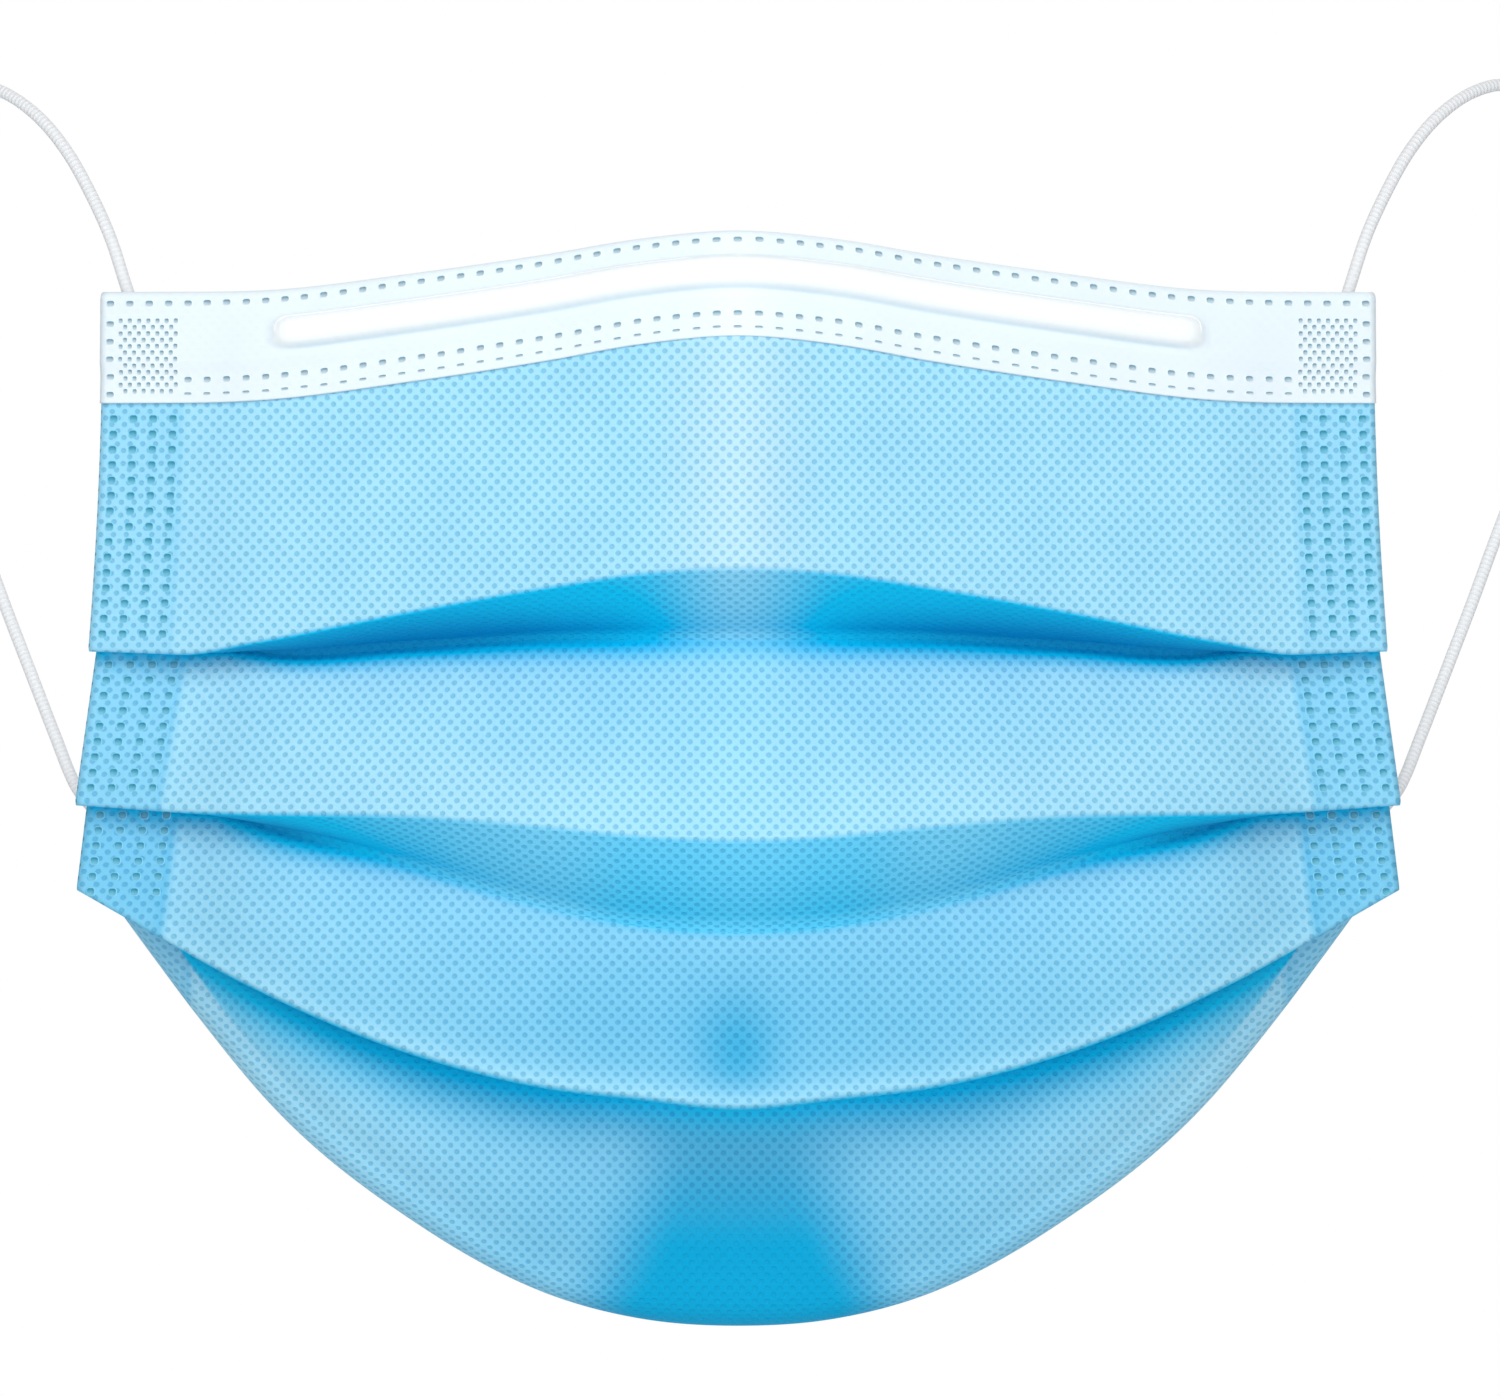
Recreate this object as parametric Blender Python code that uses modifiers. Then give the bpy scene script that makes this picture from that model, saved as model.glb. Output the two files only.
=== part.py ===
# Disposable three-ply face mask in the form that it has when worn.
# Metres, +Z up. The front faces -Y, and the origin is in the middle of the opening that takes the face.
# The pleated panel, the nose band, the nose wire and each ear loop are objects of their own.
# Left and right are as seen from the front.

import math
from collections import namedtuple

import bmesh
import bpy
import numpy as np

# Sizes of the whole mask
MASK_WIDTH = 0.1600  # between the side edges at the widest, as worn
MASK_HEIGHT = 0.1314  # from the top of the nose band down to the chin
MASK_DEPTH = 0.0440  # from the upper side edges forward to the nose
FLAT_WIDTH = 0.1750  # width of the sheet before it was bent round the face

# Sizes of the sheet and its pleats
WALL = 0.0010  # the plies together
PLY_GAP = 0.0003  # clear gap between two folded layers
SEAT_GAP = 0.0003  # clear gap between two pieces that touch
PLEAT_DEPTH = 0.0120  # length of a pleat's return
STRIP_SLANT = 28.0  # degrees that the welded side strips are turned back
PANEL_BULGE = 0.0016
CHIN_RADIUS = 0.0080

# Sizes of the nose band and the wire under it
BAND_HEIGHT = 0.0134
BAND_RETURN = 0.0030  # what is folded over to the inner face
WIRE_LENGTH = 0.1260
WIRE_WIDTH = 0.0030
WIRE_THICKNESS = 0.0008
WIRE_DROP = 0.0054  # from the top of the band down to the middle of the wire
WIRE_SLOPE = 0.0009  # width of the slope on each side of the raised stretch

# Sizes of the ear loops
LOOP_DIAMETER = 0.0015
LOOP_POINTS = 44

# Columns of facets on each half: how many there are up to each share of the half width, closest where pleats close
COLUMN_RUNS = ((0.70, 9), (0.90, 7), (1.00, 2))

# The tables give each line that runs across the mask at seven stations from the centre to the side edge.
Line = namedtuple("Line", "centre nose cheek mid outer strip edge")
STATIONS = Line(0.0, 0.15, 0.30, 0.50, 0.75, 0.86, 1.0)

# Drop of each line below the top of the mask, as a share of MASK_HEIGHT. The chin is a corner before it is rounded.
DROP = {
    "top": Line(0.000, 0.007, 0.021, 0.037, 0.053, 0.054, 0.054),
    "fold_1": Line(0.307, 0.312, 0.325, 0.346, 0.375, 0.386, 0.384),
    "fold_2": Line(0.555, 0.551, 0.542, 0.533, 0.531, 0.530, 0.525),
    "fold_3": Line(0.798, 0.789, 0.778, 0.747, 0.684, 0.650, 0.603),
    "chin": Line(1.010, 1.004, 0.981, 0.919, 0.801, 0.723, 0.608),
    "hem": Line(0.981, 0.975, 0.954, 0.898, 0.785, 0.712, 0.615),
}
# Reach of each line in front of the upper side edges, as a share of MASK_DEPTH
REACH = {
    "top": Line(0.800, 0.705, 0.580, 0.420, 0.205, 0.115, 0.000),
    "fold_1": Line(1.000, 0.900, 0.750, 0.540, 0.270, 0.135, 0.000),
    "fold_2": Line(1.000, 0.950, 0.845, 0.650, 0.330, 0.150, 0.000),
    "fold_3": Line(0.880, 0.860, 0.780, 0.620, 0.330, 0.155, 0.000),
    "chin": Line(0.470, 0.500, 0.480, 0.400, 0.200, 0.080, 0.000),
    "hem": Line(0.260, 0.270, 0.250, 0.150, -0.060, -0.180, -0.320),
}
# How far the return of each pleat runs back and up, as shares of PLEAT_DEPTH. A pleat that gapes runs back and down.
# A pleat that closes is shorter, as its layers are gathered into each other, until it is pressed flat at the edge.
RUN_BACK = {
    "fold_1": Line(0.80, 0.80, 0.75, 0.54, 0.27, 0.16, 0.02),
    "fold_2": Line(0.59, 0.60, 0.66, 0.62, 0.27, 0.16, 0.02),
    "fold_3": Line(0.62, 0.64, 0.68, 0.62, 0.38, 0.22, 0.02),
}
RUN_UP = {
    "fold_1": Line(-0.60, -0.56, -0.42, -0.25, 0.02, 0.26, 1.00),
    "fold_2": Line(-0.81, -0.79, -0.71, -0.42, 0.02, 0.26, 1.00),
    "fold_3": Line(0.12, 0.12, 0.13, 0.14, 0.16, 0.36, 1.00),
}
# Width of each tuck, in layers: it is roomier where the pleat closes
TUCK_ROOM = Line(1.0, 1.0, 1.0, 1.2, 1.6, 1.5, 1.0)
# Forward swell of each panel between its two lines, as a share of PANEL_BULGE
SWELL = {
    "panel_1": Line(0.9, 0.8, 0.7, 0.7, 0.6, 0.1, 0.0),
    "panel_2": Line(0.9, 1.0, 1.0, 0.9, 0.6, 0.1, 0.0),
    "panel_3": Line(0.1, 0.3, 0.5, 0.7, 0.6, 0.1, 0.0),
    "panel_4": Line(-0.4, 0.5, 1.2, 1.2, 0.7, 0.1, 0.0),
}
# Half width of the sheet at each line, as a share of half of MASK_WIDTH. A tuck is the inner end of a pleat's return.
HALF_WIDTH = {
    "top": 0.955,
    "fold_1": 0.976,
    "tuck_1": 0.945,
    "fold_2": 0.996,
    "tuck_2": 0.962,
    "fold_3": 0.994,
    "tuck_3": 0.958,
    "chin": 0.945,
    "hem": 0.936,
}
PLEATS = ("1", "2", "3")

# Route of the left ear loop, from its weld at the upper corner round to its weld at the lower one
LOOP_ROUTE = [
    (-0.0703, -0.0010, 0.0485),
    (-0.0718, 0.0011, 0.0535),
    (-0.0736, 0.0021, 0.0587),
    (-0.0757, 0.0040, 0.0651),
    (-0.0785, 0.0074, 0.0711),
    (-0.0812, 0.0104, 0.0757),
    (-0.0845, 0.0138, 0.0796),
    (-0.0886, 0.0180, 0.0825),
    (-0.0930, 0.0230, 0.0835),
    (-0.0975, 0.0285, 0.0815),
    (-0.1008, 0.0338, 0.0765),
    (-0.1024, 0.0382, 0.0692),
    (-0.1020, 0.0402, 0.0612),
    (-0.1004, 0.0402, 0.0530),
    (-0.0979, 0.0383, 0.0450),
    (-0.0948, 0.0350, 0.0368),
    (-0.0914, 0.0305, 0.0280),
    (-0.0886, 0.0265, 0.0205),
    (-0.0852, 0.0216, 0.0118),
    (-0.0824, 0.0178, 0.0047),
    (-0.0800, 0.0145, -0.0011),
    (-0.0775, 0.0120, -0.0043),
    (-0.0753, 0.0108, -0.0072),
    (-0.0735, 0.0101, -0.0097),
]

SHARE_STEP = 0.01  # the smallest step across that a column or a slope is worked out over
LAYER_PITCH = (WALL + PLY_GAP) / math.cos(math.radians(STRIP_SLANT))
SHEET_PITCH = WALL + SEAT_GAP
TOP_Z = MASK_HEIGHT / 2
FOLD_OVER = SHEET_PITCH + WALL / 2  # the band's fold stands this far above the panel's own top edge
DOWN = math.pi


def smooth(line, share):
    """Value of a table line at a share of the half width: a cubic through its stations that never overshoots."""
    x = np.array(STATIONS)
    y = np.array(line)
    secant = np.diff(y) / np.diff(x)
    gap = np.diff(x)
    inner = (secant[:-1] * gap[1:] + secant[1:] * gap[:-1]) / (gap[:-1] + gap[1:])
    steepest = np.where(secant[:-1] * secant[1:] > 0, 3 * np.minimum(abs(secant[:-1]), abs(secant[1:])), 0.0)
    inner = np.clip(inner, -steepest, steepest)
    slope = np.concatenate([[0.0], inner, [secant[-1]]])
    at = min(abs(share), 1.0)
    i = min(int(np.searchsorted(x, at, side="right")) - 1, len(gap) - 1)
    t = (at - x[i]) / gap[i]
    rise = y[i + 1] - y[i]
    start = gap[i] * slope[i]
    end = gap[i] * slope[i + 1]
    return y[i] + t * (start + t * (3 * rise - 2 * start - end + t * (start + end - 2 * rise)))


def heading(angle):
    """Unit step in the plane of depth and height. The angle is 0 upwards and turns backwards."""
    return np.array([math.sin(angle), math.cos(angle)])


def angle_of(step):
    """The heading of a step, from 0 up to a whole turn."""
    return math.atan2(step[0], step[1]) % (2 * math.pi)


def place(name, share, layer):
    """Depth and height of a table line. Each pleat above it sets it back by two layers."""
    depth = 2 * layer * LAYER_PITCH - MASK_DEPTH * smooth(REACH[name], share)
    height = TOP_Z - MASK_HEIGHT * smooth(DROP[name], share)
    return np.array([depth, height])


def corner(before, at, after, radius, most):
    """Start, middle and end of the arc that rounds a corner of the profile. most limits its reach along each side."""
    come = (at - before) / np.linalg.norm(at - before)
    leave = (after - at) / np.linalg.norm(after - at)
    turn = math.acos(max(-1.0, min(1.0, float(come @ leave))))
    reach = min(radius * math.tan(turn / 2), most)
    inward = leave - come
    size = np.linalg.norm(inward)
    if size < 1e-9:
        return [at - come * reach, at, at + leave * reach]
    fitted = reach / math.tan(turn / 2)
    middle = at + inward / size * (fitted / math.cos(turn / 2) - fitted)
    return [at - come * reach, middle, at + leave * reach]


def turn_over(before, first, second, after):
    """The five points of a fold: it turns at two corners, and is as round as they are apart."""
    radius = np.linalg.norm(second - first) / 2
    one = corner(before, first, second, radius, radius)
    two = corner(first, second, after, radius, radius)
    return [one[0], one[1], (first + second) / 2, two[1], two[2]]


def profile(share):
    """Rows of (depth, height, half width share) down the middle of the sheet at a share of the half width."""
    top = place("top", share, 0) - np.array([0.0, FOLD_OVER])
    folds, tucks = [], []
    ends = [place(f"fold_{n}", share, i) for i, n in enumerate(PLEATS)]
    ends.append(place("chin", share, len(PLEATS)))
    for i, n in enumerate(PLEATS):
        away = np.array([smooth(RUN_BACK[f"fold_{n}"], share), smooth(RUN_UP[f"fold_{n}"], share)])
        opened = angle_of(away)
        second = ends[i] + LAYER_PITCH * heading((DOWN + opened) / 2)
        folds.append((ends[i], second))
        tuck = second + PLEAT_DEPTH * away
        onward = angle_of(ends[i + 1] - tuck)
        apart = LAYER_PITCH * smooth(TUCK_ROOM, share)
        tucks.append((tuck, tuck + apart * heading((opened + onward) / 2)))
    rows = []
    start, start_width = top, HALF_WIDTH["top"]
    for i, n in enumerate(PLEATS):
        fold, tuck = folds[i], tucks[i]
        fold_rows = turn_over(start, *fold, tuck[0])
        tuck_rows = turn_over(fold[1], *tuck, ends[i + 1])
        fold_width, tuck_width = HALF_WIDTH[f"fold_{n}"], HALF_WIDTH[f"tuck_{n}"]
        power = 2 if i == 0 else 1
        steps = 6 if i == 0 else 4
        rows += panel(start, fold_rows[0], start_width, fold_width, steps, SWELL[f"panel_{n}"], share, power, i > 0)
        rows += [(*p, fold_width) for p in fold_rows]
        rows += [(*p, tuck_width) for p in tuck_rows]
        start, start_width = tuck_rows[-1], tuck_width
    hem = place("hem", share, len(PLEATS))
    longest = 0.45 * min(np.linalg.norm(ends[-1] - start), np.linalg.norm(hem - ends[-1]))
    chin_rows = corner(start, ends[-1], hem, CHIN_RADIUS, longest)
    rows += panel(start, chin_rows[0], start_width, HALF_WIDTH["chin"], 4, SWELL["panel_4"], share, 1, True)
    rows += [(*p, HALF_WIDTH["chin"]) for p in chin_rows]
    rows.append((*hem, HALF_WIDTH["hem"]))
    return rows


def panel(start, end, start_width, end_width, steps, swell, share, power, skip_start):
    """Rows of a panel from start up to, but not at, its end, swelling forwards between them."""
    along = end - start
    length = np.linalg.norm(along)
    forward = np.array([along[1], -along[0]]) / length
    rise = PANEL_BULGE * smooth(swell, share)
    rows = []
    for k in range(1 if skip_start else 0, steps):
        t = k / steps
        point = start + along * t + forward * rise * 4 * t * (1 - t)
        rows.append((*point, start_width + (end_width - start_width) * t**power))
    return rows


def columns(limit=1.0):
    """Shares of the half width from one side to the other, the same ones for every piece, closed off at the limit."""
    marks = [0.0]
    for run_end, count in COLUMN_RUNS:
        run_start = marks[-1]
        marks += [run_start + (run_end - run_start) * (k + 1) / count for k in range(count)]
    half = [share for share in marks if share < limit - SHARE_STEP] + [limit]
    return [-share for share in reversed(half[1:])] + half


def sheet_point(share, drop):
    """Point of the top panel's middle surface at a distance below its top edge."""
    rows = profile(share)[:7]
    depth_height = np.array([row[:2] for row in rows])
    widths = np.array([row[2] for row in rows])
    steps = np.linalg.norm(np.diff(depth_height, axis=0), axis=1)
    at = np.concatenate([[0.0], np.cumsum(steps)])
    if drop < 0:
        depth_height = depth_height[0] + (depth_height[1] - depth_height[0]) * drop / steps[0]
        return np.array([share * widths[0] * MASK_WIDTH / 2, *depth_height])
    depth = np.interp(drop, at, depth_height[:, 0])
    height = np.interp(drop, at, depth_height[:, 1])
    width = np.interp(drop, at, widths)
    return np.array([share * width * MASK_WIDTH / 2, depth, height])


def sheet_normal(share, drop):
    """Outward normal of the top panel there."""
    inside = min(max(share, -1 + SHARE_STEP), 1 - SHARE_STEP)
    across = sheet_point(inside + SHARE_STEP, drop) - sheet_point(inside - SHARE_STEP, drop)
    down = sheet_point(inside, drop + WALL / 2) - sheet_point(inside, drop - WALL / 2)
    normal = np.cross(down, across)
    return normal / np.linalg.norm(normal)


def off_sheet(share, drop, lift):
    """Point in front of the top panel's middle surface by lift, or behind it where lift is negative."""
    return sheet_point(share, drop) + sheet_normal(share, drop) * lift


def material(name, colour, roughness):
    made = bpy.data.materials.new(name)
    made.use_nodes = True
    shader = made.node_tree.nodes["Principled BSDF"]
    shader.inputs["Base Color"].default_value = (*colour, 1.0)
    shader.inputs["Roughness"].default_value = roughness
    shader.inputs["Metallic"].default_value = 0.0
    made.diffuse_color = (*colour, 1.0)
    return made


def cloth(name, grid, thickness, finish, collection):
    """A wall of even thickness on an open surface, given as columns of points from left to right."""
    mesh = bpy.data.meshes.new(name)
    build = bmesh.new()
    points = [[build.verts.new(point) for point in column] for column in grid]
    for left, right in zip(points, points[1:]):
        for i in range(len(left) - 1):
            build.faces.new((left[i], left[i + 1], right[i + 1], right[i]))
    build.to_mesh(mesh)
    build.free()
    mesh.materials.append(finish)
    mesh.shade_smooth()
    piece = bpy.data.objects.new(name, mesh)
    collection.objects.link(piece)
    wall = piece.modifiers.new("wall", "SOLIDIFY")
    wall.thickness = thickness
    wall.offset = 0.0
    return piece


def face_panel(finish, collection):
    """The pleated panel, one sheet from the nose to under the chin."""
    grid = []
    for share in columns():
        grid.append([(share * width * MASK_WIDTH / 2, depth, height) for depth, height, width in profile(share)])
    return cloth("face_panel", grid, WALL, finish, collection)


def wire_end():
    """Share of the half width at which the wire ends."""
    return WIRE_LENGTH / FLAT_WIDTH


def wire_drop():
    """Distance of the wire's middle below the panel's own top edge."""
    return WIRE_DROP - FOLD_OVER


def nose_band(finish, collection):
    """The strip folded over the top edge, raised where it runs over the wire."""
    raised = SHEET_PITCH + WIRE_THICKNESS + SEAT_GAP
    half = WIRE_WIDTH / 2 + SEAT_GAP + WALL / 2
    foot = BAND_HEIGHT - FOLD_OVER
    fade = 0.04
    grid = []
    for share in columns():
        covered = min(max((wire_end() + fade - abs(share)) / fade, 0.0), 1.0)
        lift = SHEET_PITCH + (raised - SHEET_PITCH) * covered
        column = [off_sheet(share, BAND_RETURN, -SHEET_PITCH), off_sheet(share, 0.0, -SHEET_PITCH)]
        for turn in (45, 90, 135):
            angle = math.radians(turn)
            column.append(off_sheet(share, -SHEET_PITCH * math.sin(angle), -SHEET_PITCH * math.cos(angle)))
        column.append(off_sheet(share, 0.0, SHEET_PITCH))
        column.append(off_sheet(share, wire_drop() - half - WIRE_SLOPE, SHEET_PITCH))
        column.append(off_sheet(share, wire_drop() - half, lift))
        column.append(off_sheet(share, wire_drop() + half, lift))
        column.append(off_sheet(share, wire_drop() + half + WIRE_SLOPE, SHEET_PITCH))
        column.append(off_sheet(share, foot, SHEET_PITCH))
        grid.append(column)
    return cloth("nose_band", [column[::-1] for column in grid][::-1], WALL, finish, collection)


def nose_wire(finish, collection):
    """The flat wire with rounded ends, between the panel and the band."""
    lift = WALL / 2 + SEAT_GAP + WIRE_THICKNESS / 2
    end = wire_end()
    rounding = WIRE_WIDTH / FLAT_WIDTH
    tip = [end - rounding * (1 - math.sin(math.radians(turn))) for turn in (0, 30, 60, 85)]
    inner = [share for share in columns(end) if abs(share) < end - rounding - SHARE_STEP]
    grid = []
    for share in [-t for t in reversed(tip)] + inner + tip:
        into = max(0.0, (abs(share) - (end - rounding)) / rounding)
        half = WIRE_WIDTH / 2 * math.sqrt(1 - into**2)
        grid.append([off_sheet(share, wire_drop() + half * side, lift) for side in (-1, 1)])
    return cloth("nose_wire", grid, WIRE_THICKNESS, finish, collection)


def through(route, count):
    """Points at even steps on a smooth curve through the route's own points."""
    ends = [2 * route[0] - route[1], *route, 2 * route[-1] - route[-2]]
    fine = []
    for a, b, c, d in zip(ends, ends[1:], ends[2:], ends[3:]):
        for t in np.linspace(0, 1, 20, endpoint=False):
            fine.append(
                0.5 * (2 * b + (c - a) * t + (2 * a - 5 * b + 4 * c - d) * t**2 + (3 * b - a - 3 * c + d) * t**3)
            )
    fine = np.array([*fine, route[-1]])
    at = np.concatenate([[0.0], np.cumsum(np.linalg.norm(np.diff(fine, axis=0), axis=1))])
    return [[np.interp(s, at, fine[:, k]) for k in range(3)] for s in np.linspace(0, at[-1], count)]


def ear_loop(name, side, finish, collection):
    """One elastic cord, welded at both ends behind its side strip. side is 1 for the left loop, -1 for the right."""
    route = [np.array([side * x, y, z]) for x, y, z in LOOP_ROUTE]
    curve = bpy.data.curves.new(name, "CURVE")
    curve.dimensions = "3D"
    curve.bevel_depth = LOOP_DIAMETER / 2
    curve.bevel_resolution = 2
    curve.use_fill_caps = True
    curve.materials.append(finish)
    spline = curve.splines.new("POLY")
    points = through(route, LOOP_POINTS)
    spline.points.add(len(points) - 1)
    for point, where in zip(spline.points, points):
        point.co = (*where, 1.0)
    piece = bpy.data.objects.new(name, curve)
    collection.objects.link(piece)
    return piece


def main():
    for old in list(bpy.data.objects):
        bpy.data.objects.remove(old)
    mask = bpy.data.collections.new("face_mask")
    bpy.context.scene.collection.children.link(mask)
    blue = material("blue_nonwoven", (0.36, 0.76, 0.96), 0.85)
    white = material("white_nonwoven", (0.90, 0.94, 0.96), 0.85)
    coated = material("coated_wire", (0.92, 0.93, 0.94), 0.45)
    elastic = material("white_elastic", (0.88, 0.88, 0.88), 0.8)
    face_panel(blue, mask)
    nose_band(white, mask)
    nose_wire(coated, mask)
    ear_loop("ear_loop_left", 1, elastic, mask)
    ear_loop("ear_loop_right", -1, elastic, mask)


main()
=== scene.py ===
import math

import bmesh
import bpy
import numpy as np
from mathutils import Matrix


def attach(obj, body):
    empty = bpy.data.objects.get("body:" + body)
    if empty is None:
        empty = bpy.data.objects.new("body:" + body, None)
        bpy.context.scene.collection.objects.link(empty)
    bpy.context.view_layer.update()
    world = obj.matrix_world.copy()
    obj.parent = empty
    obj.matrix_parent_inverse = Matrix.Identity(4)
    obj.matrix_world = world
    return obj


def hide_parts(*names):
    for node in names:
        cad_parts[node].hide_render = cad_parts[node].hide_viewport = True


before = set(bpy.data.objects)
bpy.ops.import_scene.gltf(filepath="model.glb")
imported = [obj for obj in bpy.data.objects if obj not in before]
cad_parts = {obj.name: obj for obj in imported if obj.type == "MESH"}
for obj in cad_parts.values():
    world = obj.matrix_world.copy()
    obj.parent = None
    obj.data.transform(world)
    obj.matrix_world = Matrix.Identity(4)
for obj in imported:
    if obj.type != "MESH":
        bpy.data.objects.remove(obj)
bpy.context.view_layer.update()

# Pleated face mask in its worn shape. Metres, front towards -Y, left and right as seen from the front.

# camera, light and floor

shot = {
    "target": (0.00144, -0.0200, 0.0094),
    "distance": 6.0,
    "width": 0.180,  # what the frame takes in at the target
    "sensor": 36.0,
}
studio = {
    "keyPower": 22.0,
    "keySize": (1.3, 1.3),
    "keyPlace": (-0.10, -1.70, 1.20),
    "glintPower": 5.0,  # a narrow upright lamp that draws the sheen down the nose line
    "glintSize": (0.25, 1.3),
    "glintPlace": (0.0, -2.2, 0.35),
    "fillPower": 3.6,  # a long low lamp that looks straight into the pleats
    "fillSize": (1.6, 0.16),
    "fillPlace": (0.0, -1.90, -0.06),
    "backPower": 9.0,  # lifts the inner side and the loops when seen from behind
    "backSize": (1.2, 1.2),
    "backPlace": (0.40, 1.70, 1.00),
    "sky": 0.48,
    "backdrop": 1.0,
    "floorHeight": -0.170,
    "floorSize": 1.7,
    "floorBack": 0.6,  # share of that size behind the mask
    "skyColour": (0.97, 0.99, 1.0, 1.0),
    "backdropColour": (1.0, 1.0, 1.0, 1.0),
    "floorTints": ((0.86, 0.87, 0.88), (0.90, 0.90, 0.91)),
}


def setCamera():
    camera = bpy.data.objects.new("camera", bpy.data.cameras.new("camera"))
    bpy.context.scene.collection.objects.link(camera)
    x, y, z = shot["target"]
    camera.location = (x, y - shot["distance"], z)
    camera.rotation_euler = (math.radians(90), 0, 0)
    camera.data.sensor_width = shot["sensor"]
    camera.data.lens = shot["sensor"] * shot["distance"] / shot["width"]
    camera.data.clip_start = 0.1
    camera.data.clip_end = 40
    bpy.context.scene.camera = camera


def areaLight(name, place, size, power):
    lamp = bpy.data.lights.new(name, "AREA")
    lamp.shape = "ELLIPSE"
    lamp.size, lamp.size_y = size
    lamp.energy = power
    holder = bpy.data.objects.new(name, lamp)
    bpy.context.scene.collection.objects.link(holder)
    holder.location = place
    away = holder.location.normalized()
    holder.rotation_euler = away.to_track_quat("Z", "Y").to_euler()


# node trees as expressions


class Field:
    # a socket of a shader or geometry tree, with the operators that an expression needs
    def __init__(self, graph, socket):
        self.graph = graph
        self.socket = socket

    def math(self, operation, *values, clamp=False):
        settings = {"operation": operation, "use_clamp": clamp}
        return self.graph.node("ShaderNodeMath", settings, dict(enumerate(values)))

    def __add__(self, other):
        return self.math("ADD", self, other)

    def __radd__(self, other):
        return self.math("ADD", other, self)

    def __sub__(self, other):
        return self.math("SUBTRACT", self, other)

    def __mul__(self, other):
        return self.math("MULTIPLY", self, other)

    def __truediv__(self, other):
        return self.math("DIVIDE", self, other)

    def __mod__(self, other):
        return self.math("FLOORED_MODULO", self, other)

    def least(self, other):
        return self.math("MINIMUM", self, other)

    def most(self, other):
        return self.math("MAXIMUM", self, other)

    def floor(self):
        return self.math("FLOOR", self)

    def sine(self):
        return self.math("SINE", self)

    def clamped(self):
        return self.math("ADD", self, 0.0, clamp=True)

    def step(self, low, high, start=0.0, end=1.0):
        # smooth step from start to end as the value goes from low to high
        settings = {"interpolation_type": "SMOOTHSTEP"}
        values = {"Value": self, "From Min": low, "From Max": high, "To Min": start, "To Max": end}
        return self.graph.node("ShaderNodeMapRange", settings, values)


class Graph:
    def __init__(self, tree):
        self.tree = tree

    def node(self, kind, settings=None, values=None, output=0):
        made = self.tree.nodes.new(kind)
        for name, value in (settings or {}).items():
            setattr(made, name, value)
        shown = [socket for socket in made.inputs if socket.enabled]
        for name, value in (values or {}).items():
            socket = shown[name] if isinstance(name, int) else next(s for s in shown if s.name == name)
            if isinstance(value, Field):
                self.tree.links.new(value.socket, socket)
            else:
                socket.default_value = value
        if isinstance(output, int):
            given = [socket for socket in made.outputs if socket.enabled]
            return Field(self, given[output]) if given else None
        return Field(self, next(s for s in made.outputs if s.enabled and s.name == output))

    def parts(self, vector):
        split = self.node("ShaderNodeSeparateXYZ", values={0: vector}).socket.node
        return [Field(self, socket) for socket in split.outputs]

    def vector(self, x, y, z=0.0):
        return self.node("ShaderNodeCombineXYZ", values={0: x, 1: y, 2: z})

    def move(self, operation, *values):
        return self.node("ShaderNodeVectorMath", {"operation": operation}, dict(enumerate(values)))


class Finish(Graph):
    # a procedural material
    def __init__(self, name, roughness, sheen=0.0, specular=0.3):
        self.material = bpy.data.materials.new(name)
        self.material.use_nodes = True
        super().__init__(self.material.node_tree)
        self.shader = self.tree.nodes["Principled BSDF"]
        self.shader.inputs["Roughness"].default_value = roughness
        self.shader.inputs["Sheen Weight"].default_value = sheen
        self.shader.inputs["Specular IOR Level"].default_value = specular

    def feed(self, socket, value):
        self.tree.links.new(value.socket, self.shader.inputs[socket])

    def attribute(self, name):
        return self.node("ShaderNodeAttribute", {"attribute_name": name}, output="Fac")

    def blend(self, factor, first, second, how="MIX"):
        colours = [value if isinstance(value, Field) else (*value, 1.0) for value in (first, second)]
        values = {"Factor": factor, "A": colours[0], "B": colours[1]}
        return self.node("ShaderNodeMix", {"data_type": "RGBA", "blend_type": how}, values)

    def noise(self, where, scale, detail=2.0, roughness=0.5):
        values = {"Vector": where, "Scale": scale, "Detail": detail, "Roughness": roughness}
        return self.node("ShaderNodeTexNoise", values=values)

    def bump(self, height, distance):
        values = {"Height": height, "Distance": distance, "Strength": 1.0}
        self.feed("Normal", self.node("ShaderNodeBump", values=values))


# cloth finishes

uvSpan = 0.2  # metres that one unit of a cloth UV map covers
bonding = {
    "across": 0.00175,  # from one bond to the next on the flat sheet
    "down": 0.00156,
    "dotWide": 0.00036,  # half sizes of a bond
    "dotHigh": 0.00030,
    "wanderAcross": 0.0002,
    "wanderDown": 0.00006,
}
blueTint = {
    "cloth": (0.340, 0.690, 0.885),
    "cloud": (0.370, 0.720, 0.905),
    # painted highlight, laid on by the hollows' negative values down the nose line and low on panel 2
    "pale": (0.510, 0.710, 0.840),
    "strip": (0.140, 0.530, 0.800),
    # painted shade in the hollows of the lower panels and under the chin
    "dusk": (0.000, 0.355, 0.635),
    # painted shade in the pleats' returns and under their edges, first the fold tint, then the darker shade
    # tint
    "fold": (0.000, 0.520, 0.860),
    "shade": (0.000, 0.270, 0.570),
    "bond": (0.46, 0.68, 0.78),  # what a bond lets through of the cloth's own colour
    "shadeFrom": 0.7,  # how far the painted fold shade goes before its colour is the fold tint and starts to turn to the shade tint
}
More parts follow.
